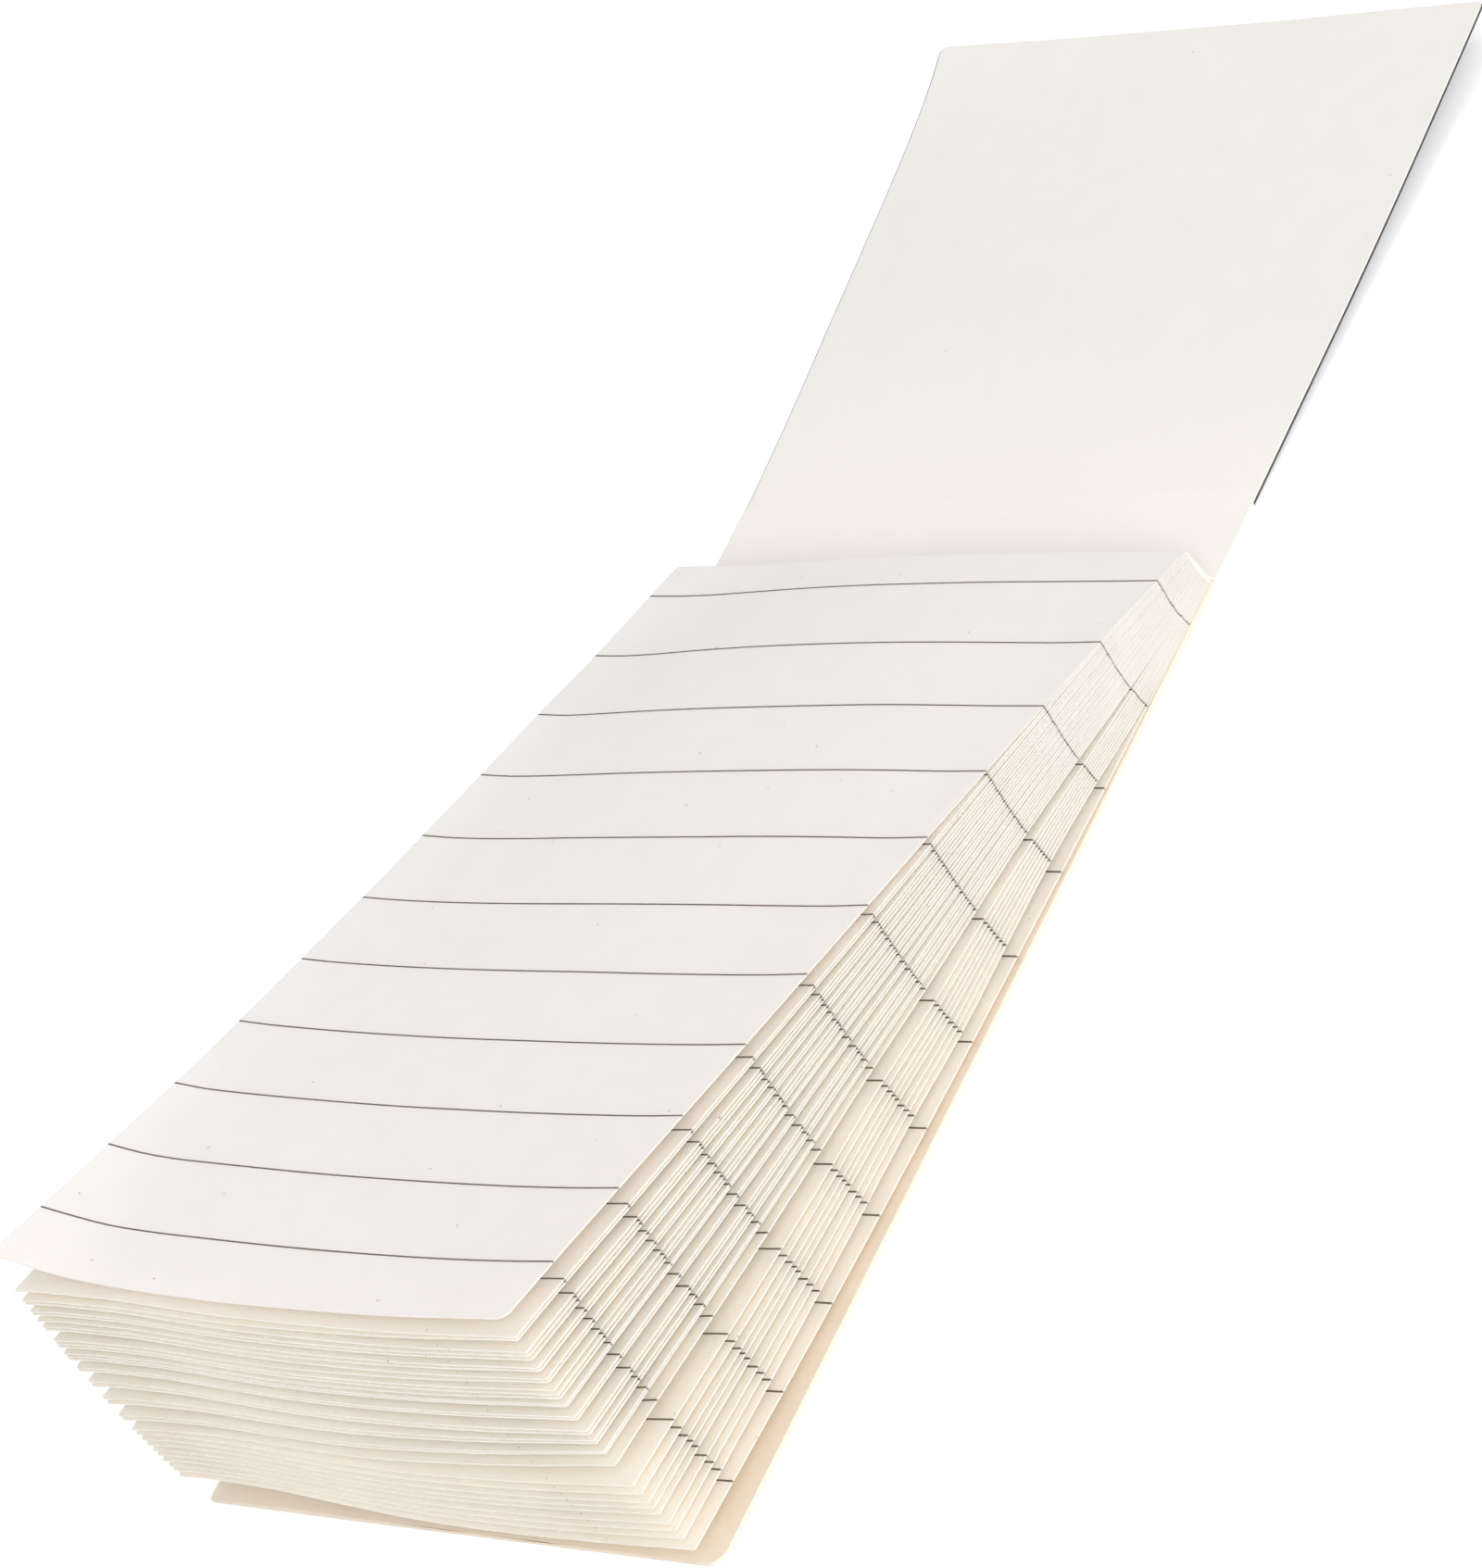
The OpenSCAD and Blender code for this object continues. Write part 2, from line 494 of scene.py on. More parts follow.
class MeshDraft:
    """Gathers closed sheets and turns them into one mesh."""

    def __init__(self) -> None:
        """Starts with nothing in it."""
        self.points: list[Array] = []
        self.faces: list[tuple[int, ...]] = []
        self.finishes: list[int] = []
        self.flats: list[Array] = []
        self.count = 0

    def add_sheet(self, grid: SheetGrid) -> "MeshDraft":
        """Adds one closed sheet, its two faces and the walls round them, and gives the draft back."""
        columns = (np.array(grid.columns) + 1) / 2
        wide, long = len(grid.columns), len(grid.rows)
        for height in (0.0, grid.thickness):
            for s in grid.rows:
                x = grid.left(s) + (grid.right(s) - grid.left(s)) * columns
                self.points.append(grid.place(x, s, height))
                flat = [x + grid.flat_offset[0], np.full(wide, s) + grid.flat_offset[1]]
                self.flats.append(np.stack(flat, 1))
        upper = wide * long
        end, last = long - 1, wide - 1

        def add(finish: int, *corners: tuple[int, int, int]) -> None:
            """Adds one face, whose corners are given as row, column and side."""
            quad = tuple(self.count + side * upper + row * wide + column for row, column, side in corners)
            self.faces.append(quad[::-1] if grid.runs_to_bound_edge else quad)
            self.finishes.append(finish)

        for r in range(end):
            finish = grid.finish_of_row[r] if grid.finish_of_row else 0
            for c in range(last):
                add(finish, (r, c, 1), (r + 1, c, 1), (r + 1, c + 1, 1), (r, c + 1, 1))
                add(finish, (r, c, 0), (r, c + 1, 0), (r + 1, c + 1, 0), (r + 1, c, 0))
            wall = grid.wall_of_finish[finish]
            add(wall, (r, 0, 0), (r + 1, 0, 0), (r + 1, 0, 1), (r, 0, 1))
            add(wall, (r, last, 1), (r + 1, last, 1), (r + 1, last, 0), (r, last, 0))
        for c in range(last):
            add(grid.end_finish, (0, c, 1), (0, c + 1, 1), (0, c + 1, 0), (0, c, 0))
            add(grid.end_finish, (end, c, 0), (end, c + 1, 0), (end, c + 1, 1), (end, c, 1))
        self.count += 2 * upper
        return self

    def build(self, name: str, materials: list[Material], bevel: float = 0.0) -> Object:
        """Makes the object.

        Args:
            name: Name of the piece.
            materials: Its finishes, in the order that the faces number them.
            bevel: Width of the rounding on its sharp edges.

        Returns:
            The object, in metres, in the row frame.
        """
        mesh = bpy.data.meshes.new(name)
        mesh.from_pydata((np.concatenate(self.points) * MM).tolist(), [], self.faces)
        mesh.polygons.foreach_set("material_index", self.finishes)
        flats = np.concatenate(self.flats) / FLAT_MM
        loops = np.empty(len(mesh.loops), dtype=np.int32)
        mesh.loops.foreach_get("vertex_index", loops)
        mesh.uv_layers.new(name="Flat").data.foreach_set("uv", flats[loops].ravel())
        mesh.polygons.foreach_set("use_smooth", [True] * len(mesh.polygons))
        mesh.set_sharp_from_angle(angle=math.radians(SHARP_ANGLE))
        for material in materials:
            mesh.materials.append(material)
        mesh.update()
        piece = add_object(name, mesh)
        if bevel:
            rounding = piece.modifiers.new("Rounding", "BEVEL")
            rounding.width = bevel * MM
            rounding.segments = 2
            rounding.limit_method = "ANGLE"
            rounding.angle_limit = math.radians(ROUNDED_ANGLE)
            rounding.harden_normals = False
        return piece


def settle(piece: Object, body: Body, slot: Slot, *nodes: str) -> Object:
    """Puts a piece on its body, in place of the nodes that it stands for.

    Args:
        piece: The piece, in place in the row frame.
        body: Body that it rides on.
        slot: Material slot that its finish comes from; not used.
        nodes: Nodes that it stands for, if any.

    Returns:
        The same piece.
    """
    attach(piece, body.value)
    if nodes:
        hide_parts(*nodes)
    log.info("%s on %s, %d faces", piece.name, body.value, len(piece.data.polygons))
    return piece


def rounded_half(full: float, radius: float, end: float, s: float) -> float:
    """Half width of a sheet near a rounded corner.

    Args:
        full: Half width away from the corner.
        radius: Radius of the corner.
        end: Distance along the sheet at which it ends.
        s: Distance along the sheet.

    Returns:
        The half width at that distance.
    """
    past = s - (end - radius)
    if past <= 0:
        return full
    return full - radius + math.sqrt(max(radius**2 - past**2, 0.0))


def smooth_step(low: float, high: float, at: float) -> float:
    """Rises softly from 0 at low to 1 at high."""
    t = min(max((at - low) / (high - low), 0.0), 1.0)
    return t * t * (3 - 2 * t)


def even_columns(steps: int) -> list[float]:
    """Evenly spaced columns, from -1 at a sheet's left edge to 1 at its right one."""
    return [2 * k / steps - 1 for k in range(steps + 1)]


def corner_rows(end: float, radius: float, steps: int = 5) -> list[float]:
    """Rows that follow a rounded corner up to the end of a sheet."""
    return [end - radius * (1 - math.sin(math.pi / 2 * k / steps)) for k in range(steps + 1)]


# ---- leaves


@dataclass
class LeafBlock:
    """The ruled leaves, fanned apart at their loose edge and glued at the other."""

    width: float = 58.0
    length: float = 90.35
    fan_length: float = 90.0
    pitch: float = 0.11
    thickness: float = 0.11
    # Share by which the burr of the cut makes a leaf thicker at its loose edge
    burr: float = 0.3
    # The pressed leaves swell by this much into the gaps above them, and by no more than this share of a gap
    swell: float = 0.085
    swell_share: float = 0.9
    # The swell is full up to the first distance and gone from the second on
    swell_full: float = 8.0
    swell_end: float = 58.0
    count: int = 33
    bound_y: float = 45.0
    base_z: float = 0.4
    top_slope: float = 16.4
    top_droop: float = 1.2
    bottom_lift: float = 3.2
    corner_radius: float = 0.3
    top_corner_radius: float = 1.0
    rule_first: float = 4.0
    rule_pitch: float = 8.03
    rule_width: float = 0.17
    rule_count: int = 11
    # Rows by the bound edge, rows between two rules as shares of the way, and the way from a row to the end
    first_rows: tuple[float, ...] = (0.0, 1.2, 2.5)
    between_rules: tuple[float, ...] = (0.33, 0.67)
    near_end: float = 1.6
    # Steps across a leaf, and how much closer together they are by its edges
    plain_steps: int = 14
    top_steps: int = 28
    edge_pull: float = 0.2
    leaves_in_piece: int = 4
    # Random slip of each leaf to the left or the right
    slip: float = 0.03
    seed: int = 7
    gaps: tuple[float, ...] = (
        1.2, 0.9, 0.8, 1.1, 0.6, 0.6, 0.9, 0.9, 2.3, 1.3, 0.1,
        0.9, 0.2, 0.6, 0.3, 1.2, 0.2, 1.1, 0.1, 0.6, 0.3, 0.4,
        0.8, 0.2, 0.8, 0.2, 0.8, 0.3, 0.3, 1.2, 0.2, 1.7,
    )  # fmt: skip
    left_gaps: tuple[float, ...] = (
        0.9, 0.6, 0.9, 0.8, 0.7, 0.9, 0.8, 0.8, 0.6, 1.6, 0.5,
        1.9, 0.7, 1.9, 0.5, 1.6, 0.3, 1.2, 0.3, 0.3, 0.9, 0.3,
        0.4, 1.5, 0.3, 0.8, 0.8, 0.3, 1.0, 0.3, 1.3, 1.7,
    )  # fmt: skip
    # Leaves at the ends of the clumps, and their shares of the fan's opening along the right side
    clump_ends: tuple[int, ...] = (0, 1, 8, 9, 31, 32)
    clump_along: tuple[float, ...] = (0, 4, 12, 20, 28, 36, 44, 52, 64, 90.4)
    clump_shares: tuple[tuple[float, ...], ...] = (
        (0, 0.010, 0.220, 0.230, 0.999, 1),
        (0, 0.015, 0.245, 0.260, 0.998, 1),
        (0, 0.065, 0.312, 0.395, 0.995, 1),
        (0, 0.165, 0.363, 0.480, 0.975, 1),
        (0, 0.180, 0.392, 0.500, 0.957, 1),
        (0, 0.142, 0.380, 0.482, 0.938, 1),
        (0, 0.108, 0.360, 0.466, 0.931, 1),
        (0, 0.113, 0.365, 0.463, 0.928, 1),
        (0, 0.092, 0.342, 0.442, 0.927, 1),
        (0, 0.060, 0.318, 0.420, 0.926, 1),
    )
    # Inside a clump the gaps are even up to sorted_from and as listed from sorted_to on
    sorted_from: float = 14.0
    sorted_to: float = 62.0
    # The left side takes over its own list between these distances
    left_from: float = 45.0
    left_to: float = 75.0
    # Shift of the leaves towards their loose edge at the bound edge, from the bottom leaf up
    shift_leaves: tuple[float, ...] = (0, 1, 8, 11, 20, 31, 32)
    shifts: tuple[float, ...] = (0.06, 0.12, 0.14, 0.22, 0.04, -0.2, -0.2)
    # The top leaf's lift off a straight leaf: a crown by the bound edge, a hollow along the middle
    # and a curled near left corner
    lift: LiftTable = LiftTable(
        across=(-29, -26, -22, -17, -11, -4, 4, 12, 19, 25, 29),
        along=(0, 4, 12, 20, 28, 36, 44, 52, 60, 68, 76, 84, 90.4),
        lifts=(
            (0.00, 0.00, 0.00, 0.08, 0.28, 0.44, 0.48, 0.44, 0.34, 0.26, 0.20),
            (-0.10, -0.18, -0.15, 0.05, 0.30, 0.48, 0.52, 0.49, 0.38, 0.30, 0.26),
            (-0.32, -0.38, -0.26, 0.04, 0.32, 0.51, 0.60, 0.55, 0.41, 0.31, 0.34),
            (-0.32, -0.44, -0.31, -0.08, 0.14, 0.30, 0.42, 0.48, 0.38, 0.28, 0.27),
            (-0.38, -0.53, -0.49, -0.34, -0.14, 0.03, 0.17, 0.27, 0.25, 0.17, 0.22),
            (-0.38, -0.56, -0.62, -0.56, -0.40, -0.26, -0.11, 0.03, 0.06, 0.05, 0.18),
            (-0.36, -0.53, -0.64, -0.69, -0.64, -0.51, -0.36, -0.25, -0.19, -0.09, 0.10),
            (-0.21, -0.41, -0.56, -0.67, -0.71, -0.66, -0.54, -0.46, -0.34, -0.16, 0.05),
            (0.01, -0.23, -0.42, -0.59, -0.71, -0.75, -0.68, -0.58, -0.42, -0.21, 0.00),
            (0.36, -0.04, -0.28, -0.47, -0.62, -0.74, -0.72, -0.64, -0.47, -0.25, 0.00),
            (0.92, 0.30, -0.15, -0.35, -0.54, -0.70, -0.73, -0.67, -0.51, -0.24, 0.02),
            (1.45, 0.80, 0.08, -0.31, -0.50, -0.68, -0.75, -0.69, -0.50, -0.21, 0.07),
            (2.04, 1.30, 0.41, -0.20, -0.60, -0.86, -0.88, -0.80, -0.54, -0.17, 0.02),
        ),
    )
    # Curl of the near left corner that only the top leaf has
    curl: float = 2.5
    curl_inner_x: float = -14.0
    curl_start: float = 45.0
    curl_power: float = 1.6
    # The lowest leaf takes up the lift with this power of the distance
    held_power: float = 1.5
    # Twist that lifts the left side of the lower leaves
    twist: float = 2.0
    twist_from_x: float = 5.0
    twist_to_x: float = -27.0

    def fan_share(self, leaf: int, x: Array, s: float) -> Array:
        """Gives a leaf's share of the fan's opening, from 0 at the bottom to 1 at the top.

        Args:
            leaf: Number of the leaf from the bottom.
            x: Places across the leaf, as the clumps at its two sides differ.
            s: Distance along the leaf.

        Returns:
            The share at each place.
        """
        ends = self.clump_ends
        clump = min(max(np.searchsorted(ends, leaf) - 1, 0), len(ends) - 2)
        first, last = ends[clump], ends[clump + 1]
        even = (leaf - first) / (last - first)
        listed = sum(self.gaps[first:leaf]) / sum(self.gaps[first:last])
        sorted_share = smooth_step(self.sorted_from, self.sorted_to, s)
        inside = even + (listed - even) * sorted_share
        levels = curve_through(self.clump_along, np.array(self.clump_shares), np.array([s]))[0]
        right = levels[clump] + (levels[clump + 1] - levels[clump]) * inside
        left = sum(self.left_gaps[:leaf]) / sum(self.left_gaps)
        leftward = np.clip(0.5 - x / self.width, 0, 1) * smooth_step(self.left_from, self.left_to, s)
        return right + (left - right) * leftward

    def shift_of_leaf(self, leaf: float, s: float) -> float:
        """Gives how far a leaf stands towards its loose edge; the bound edges aren't quite flush."""
        return float(np.interp(leaf, self.shift_leaves, self.shifts)) * (1 - min(s / self.fan_length, 1.0))

    def place(self, leaf: int, x: Array, s: float, height: float) -> Array:
        """Puts flat places of one leaf in the row frame, with its burr and its swell.

        Args:
            leaf: Number of the leaf from the bottom.
            x: Places across the leaf.
            s: Distance along it.
            height: Height over its lower face.

        Returns:
            One point for each place.
        """
        point = self.plain_place(leaf, x, s, height * (1 + self.burr * s / self.fan_length))
        if height == 0 or leaf == self.count - 1:
            return point
        above = self.plain_place(leaf + 1, x, s, 0.0) - point
        gap = np.maximum(np.linalg.norm(above, axis=1), TINY)
        fade = 1 - smooth_step(self.swell_full, self.swell_end, s)
        swell = np.minimum(self.swell_share * gap, self.swell) * fade
        return point + above * (swell / gap)[:, None]

    def plain_place(self, leaf: int, x: Array, s: float, height: float) -> Array:
        """Puts flat places of one leaf in the row frame, without its burr and its swell.

        Args:
            leaf: Number of the leaf from the bottom.
            x: Places across the leaf.
            s: Distance along it.
            height: Height over its lower face.

        Returns:
            One point for each place.
        """
        run = s / self.fan_length
        share = self.fan_share(leaf, x, s)
        opened = share * (self.top_slope - self.top_droop * run)
        end = np.radians((1 - share) * self.bottom_lift * run + opened)
        chord = (np.radians(share * self.top_slope) + end) / 2
        rise = height + self.lift_of_leaf(leaf, share, x, s)
        out = s + self.shift_of_leaf(leaf, s)
        y = self.bound_y - out * np.cos(chord) + rise * np.sin(end)
        z = self.base_z + leaf * self.pitch + s * np.sin(chord) + rise * np.cos(end)
        return np.stack([x, y, z], 1)

    def lift_of_leaf(self, leaf: int, share: Array, x: Array, s: float) -> Array:
        """Gives how far one leaf stands off its plain place.

        Args:
            leaf: Number of the leaf from the bottom.
            share: Its share of the fan's opening at each place.
            x: Places across the leaf.
            s: Distance along the leaf.

        Returns:
            The lift at each place.
        """
        run = min(s / self.fan_length, 1.0)
        common = self.lift.at(x, s)
        if leaf < self.count - 1:
            half = self.width / 2
            inward = np.clip((self.curl_inner_x - x) / (self.curl_inner_x + half), 0, 1)
            late = max((s - self.curl_start) / (self.fan_length - self.curl_start), 0.0)
            common = common - self.curl * inward**2 * late**self.curl_power
        held = share + (1 - share) * run**self.held_power
        across = np.clip((self.twist_from_x - x) / (self.twist_from_x - self.twist_to_x), 0, 1)
        twisted = self.twist * across**2 * (3 - 2 * across) * run**2 * (1 - share)
        return held * common + twisted

    def rows(self, radius: float) -> tuple[list[float], list[int]]:
        """Gives the rows along a leaf whose corners have that radius, and the finish that follows each."""
        plain = LeafFinish.PAPER
        stops: list[tuple[float, int]] = [(s, plain) for s in self.first_rows]
        half = self.rule_width / 2
        for k in range(self.rule_count):
            middle = self.rule_first + k * self.rule_pitch
            stops += [(middle - half, LeafFinish.RULE), (middle + half, plain)]
            if k < self.rule_count - 1:
                stops += [(middle + self.rule_pitch * part, plain) for part in self.between_rules]
        ends = [(middle + self.length) / 2, self.length - self.near_end, *corner_rows(self.length, radius)]
        stops += [(s, plain) for s in ends]
        return [s for s, _ in stops], [finish for _, finish in stops[:-1]]

    def columns(self, steps: int) -> list[float]:
        """Gives the columns across a leaf, from -1 to 1, closer together by the edges."""
        pull = self.edge_pull
        return [(1 - pull) * c + pull * math.sin(math.pi / 2 * c) for c in even_columns(steps)]

    def sheet(self, leaf: int, slip: float) -> SheetGrid:
        """Gives the grid of one leaf.

        Args:
            leaf: Number of the leaf from the bottom.
            slip: How far it stands to the right of the others.

        Returns:
            The leaf's grid.
        """
        is_top = leaf == self.count - 1
        radius = self.top_corner_radius if is_top else self.corner_radius
        rows, finishes = self.rows(radius)
        return SheetGrid(
            rows=rows,
            columns=self.columns(self.top_steps if is_top else self.plain_steps),
            left=lambda s: slip - rounded_half(self.width / 2, radius, self.length, s),
            right=lambda s: slip + rounded_half(self.width / 2, radius, self.length, s),
            place=partial(self.place, leaf),
            thickness=self.thickness,
            finish_of_row=finishes,
            # Cut side walls take the paper with painted shade, the loose end the paper with painted light
            wall_of_finish=(LeafFinish.CUT_SIDE, LeafFinish.RULE_END),
            end_finish=LeafFinish.LOOSE_EDGE,
            flat_offset=(leaf * FLAT_MM, 2 * leaf * FLAT_MM),
        )

    def build(self, paper: Material, top_paper: Material, fine: list[Material]) -> None:
        """Makes the leaves, a few to a piece, with the top one a piece of its own.

        Args:
            paper: Finish of the leaves below the top one, a lighter, warmer copy of the paper as painted
                light in the gaps between them.
            top_paper: Finish of the top leaf, a darker, cooler copy of the same paper as painted shade on its
                open face.
            fine: Finishes of the rules, their ends on the cut sides, those sides, painted darker as painted
                shade, and the loose edges, painted lighter than the sides as painted light.
        """
        rng = np.random.default_rng(self.seed)
        top = self.count - 1
        groups = [range(a, min(a + self.leaves_in_piece, top)) for a in range(0, top, self.leaves_in_piece)]
        pieces = [(f"leaves_{number}", paper, group) for number, group in enumerate(groups, 1)]
        for name, first, leaves in [*pieces, ("top_leaf", top_paper, [top])]:
            draft = MeshDraft()
            for leaf in leaves:
                draft.add_sheet(self.sheet(leaf, rng.normal(0.0, self.slip)))
            settle(draft.build(name, [first, *fine]), Body.BLOCK, Slot.LEAF, "pages")


# ---- glue, covers and folds


@dataclass
class GluedEdge:
    """The layer of dried glue that holds the leaves at their bound edge."""

    leaves: LeafBlock
    depth: float = 0.3
    sag: float = 0.05
    # Uneven brushing: the share of each wave, and how fast it runs across the edge and up it
    waves: tuple[tuple[float, float, float], ...] = ((0.4, 0.9, 0.0), (0.3, 2.3, 4.0))

    def build(self, glue: Material) -> Object:
        """Makes the glue, whose top follows the crown of the block."""
        block = self.leaves
        height = block.count * block.pitch

        def place(x: Array, s: float, depth: float) -> Array:
            """Puts a row of places at a share of the glue's height in the row frame."""
            crown = block.lift.at(x, 0.0)
            z = block.base_z + s * (height + crown)
            uneven = 1 + sum(share * np.sin(x * across + s * up) for share, across, up in self.waves)
            swell = self.sag * np.sin(math.pi * s) * uneven
            inner = block.bound_y - block.shift_of_leaf(s * block.count - 0.5, 0.0)
            outer = block.bound_y + self.depth - self.sag + swell
            return np.stack([x, inner + (outer - inner) * (depth / self.depth), z], 1)

        grid = SheetGrid(
            rows=[k / 14 for k in range(15)],
            columns=even_columns(60),
            left=lambda s: -block.width / 2,
            right=lambda s: block.width / 2,
            place=place,
            thickness=self.depth,
        )
        piece = MeshDraft().add_sheet(grid).build("glued_edge", [glue], bevel=0.05)
        return settle(piece, Body.BLOCK, Slot.GLUE, "binding_glue")


@dataclass
class BackCover:
    """The pale card under the leaves, with one near corner worn round."""

    half_width: float = 29.2
    bound_y: float = 45.3
    length: float = 90.3
    thickness: float = 0.4
    worn_radius: float = 1.6
    plain_radius: float = 0.25
    row_step: int = 8
    # Lift of its near left corner, and where the lift starts and how far it takes across and along
    lifted: float = 0.22
    lift_x: float = 6.0
    lift_width: float = 30.0
    lift_start: float = 50.0
    lift_run: float = 40.0

    def build(self, card: Material) -> Object:
        """Makes the back cover."""

        def place(x: Array, s: float, height: float) -> Array:
            """Puts a row of flat places in the row frame."""
            leftward = np.clip((self.lift_x - x) / self.lift_width, 0, 1) ** 2
            lift = self.lifted * leftward * max((s - self.lift_start) / self.lift_run, 0.0) ** 2
            return np.stack([x, np.full(len(x), self.bound_y - s), height + lift], 1)

        rows = [float(s) for s in range(0, int(self.length - self.worn_radius), self.row_step)]
        grid = SheetGrid(
            rows=rows + corner_rows(self.length, self.worn_radius, steps=7),
            columns=even_columns(16),
            left=lambda s: -rounded_half(self.half_width, self.plain_radius, self.length, s),
            right=lambda s: rounded_half(self.half_width, self.worn_radius, self.length, s),
            place=place,
            thickness=self.thickness,
        )
        piece = MeshDraft().add_sheet(grid).build("back_card", [card], bevel=0.08)
        return settle(piece, Body.BLOCK, Slot.BACK, "back_cover")


@dataclass
class FrontCover:
    """The short front cover: a dark board with paper on its inside, slightly bent and twisted."""

    half_width: float = 29.2
    flare: float = 1.2
    start: float = 0.33
    length: float = 49.6
    corner_radius: float = 0.6
    board: float = 0.34
    worn_board: float = 0.18
    lining: float = 0.12
    left_inset: float = 0.21
    right_inset: float = 0.03
    hinge_y: float = 52.6
    hinge_z: float = 0.2
    open_angle: float = 4.5
    rows: tuple[float, ...] = (2.0, 5.0, 10.0, 15.0, 20.0, 25.0, 30.0, 35.0, 40.0, 44.0, 47.0)
    # Lift off the plain plate: a sag along it, a sunken right side and a curled far left corner
    lift: LiftTable = LiftTable(
        across=(-30, -16, -4, 9, 21, 30),
        along=(0, 10, 20, 30, 40, 46, 49.6),
        lifts=(
            (0.00, 0.00, 0.00, 0.00, 0.00, 0.00),
            (-0.33, -0.36, -0.38, -0.38, -0.36, -0.33),
            (-0.36, -0.45, -0.52, -0.60, -0.65, -0.66),
            (-0.42, -0.50, -0.58, -0.70, -0.78, -0.82),
            (-0.35, -0.45, -0.55, -0.72, -0.80, -0.84),
            (0.00, -0.28, -0.46, -0.70, -0.76, -0.83),
            (0.50, -0.09, -0.38, -0.67, -0.71, -0.80),
        ),
    )

    def sheet(self, low: float, thickness: float, left_inset: float, right_inset: float) -> MeshDraft:
        """Makes one layer of the cover.

        Args:
            low: Height of its lower face over the middle of the cover's thickness.
            thickness: Its thickness.
            left_inset: How far its left side stays in from the board's.
            right_inset: How far its right side does.

        Returns:
            The layer's mesh, not yet an object.
        """
        angle = math.radians(self.open_angle)

        def place(x: Array, s: float, height: float) -> Array:
            """Puts a row of flat places in the row frame."""
            rise = low + height + self.lift.at(x, s)
            y = self.hinge_y + s * math.cos(angle) - rise * math.sin(angle)
            z = self.hinge_z + s * math.sin(angle) + rise * math.cos(angle)
            return np.stack([x, y, z], 1)

        def half(s: float) -> float:
            """Half the board's width at a distance along it."""
            full = self.half_width + self.flare * s / self.length
            return rounded_half(full, self.corner_radius, self.length, s)

        grid = SheetGrid(
            rows=[self.start, *self.rows, *corner_rows(self.length, self.corner_radius, steps=6)],
            columns=even_columns(24),
            left=lambda s: left_inset - half(s),
            right=lambda s: half(s) - right_inset,
            place=place,
            thickness=thickness,
            runs_to_bound_edge=True,
        )
        return MeshDraft().add_sheet(grid)

    def build(self, covering: Material, paper: Material) -> None:
        """Makes the board and its lining."""
        middle = (self.board + self.lining) / 2
        under = self.board - self.worn_board - middle
        board = self.sheet(under, self.worn_board, 0.0, 0.0).build("outer_board", [covering], bevel=0.05)
        settle(board, Body.COVER, Slot.BOARD, "front_cover")
        lining = self.sheet(self.board - middle, self.lining, self.left_inset, self.right_inset)
        settle(lining.build("inner_lining", [paper], bevel=0.03), Body.COVER, Slot.LINING, "front_lining")


@dataclass
class SpineStrip:
    """The strip between the block and the front cover, with the creased paper that runs over its folds."""

    node: str = "spine_strip"
    half_width: float = 29.22
    skin: float = 0.05
    # Share of the skin that the creased paper thins out to at its two ends
    thin: float = 0.1
    rows_to_point: int = 4
    # Step along a profile over which its slope is measured
    slope_step: float = 0.05
    # Profiles that the creased paper's upper face follows, one skin above them, and those of its lower face,
    # as places along the row and heights
    front_crease: Profile = (
        (50.6, 0.397), (51.6, 0.399), (52.4, 0.406), (52.8, 0.424), (53.1, 0.442), (54.2, 0.506),
    )  # fmt: skip
    front_root: Profile = (
        (50.6, 0.395), (51.6, 0.395), (52.5, 0.39), (52.86, 0.15), (53.1, 0.42), (54.2, 0.5),
    )  # fmt: skip
    rear_crease: Profile = (
        (45.3, 1.0), (45.31, 0.7), (45.35, 0.53), (45.45, 0.43), (45.75, 0.402), (46.6, 0.398),
    )  # fmt: skip
    rear_root: Profile = (
        (45.29, 1.0), (45.29, 0.7), (45.3, 0.4), (45.37, 0.1), (45.75, 0.39), (46.6, 0.396),
    )  # fmt: skip

    def dress(self, card: Material) -> None:
        """Gives the strip's own solid its finish."""
        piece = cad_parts[self.node]
        piece.data.materials.clear()
        piece.data.materials.append(card)
        log.info("%s dressed", self.node)

    def crease(self, name: str, profile: Profile, root: Profile, paper: Material) -> Object:
        """Makes the creased paper over one fold.

        Args:
            name: Name of the piece.
            profile: Places along the row and heights that its upper face follows.
            root: Places and heights of its lower face, which fills the notch of the fold.
            paper: Its finish.

        Returns:
            The object, not yet on a body.
        """
        steps = np.arange(len(profile))
        line, bed = np.array(profile), np.array(root)

        def place(x: Array, s: float, height: float) -> Array:
            """Puts a row of flat places in the row frame."""
            y, z = curve_through(steps, line if height else bed, np.array([s]))[0]
            if height:
                ahead = curve_through(steps, line, np.array([s + self.slope_step, s - self.slope_step]))
                along = ahead[0] - ahead[1]
                along = along / np.linalg.norm(along)
                rise = height * max(min(s, len(profile) - 1 - s, 1.0), self.thin)
                y, z = y - along[1] * rise, z + along[0] * rise
            return np.stack([x, np.full(len(x), y), np.full(len(x), z)], 1)

        grid = SheetGrid(
            rows=[k / self.rows_to_point for k in range(self.rows_to_point * (len(profile) - 1) + 1)],
            columns=even_columns(24),
            left=lambda s: -self.half_width,
            right=lambda s: self.half_width,
            place=place,
            thickness=self.skin,
            runs_to_bound_edge=True,
        )
        return MeshDraft().add_sheet(grid).build(name, [paper])

    def build(self, card: Material) -> None:
        """Dresses the strip and lays the creased paper over its two folds."""
        self.dress(card)
        folds = (
            ("front_crease", self.front_crease, self.front_root, Body.SPINE, Body.COVER),
            ("rear_crease", self.rear_crease, self.rear_root, Body.BLOCK, Body.SPINE),
        )
        for name, profile, root, first, second in folds:
            piece = self.crease(name, profile, root, card)
            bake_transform(piece)
            log.info("%s between %s and %s", name, first.value, second.value)


# ---- studio


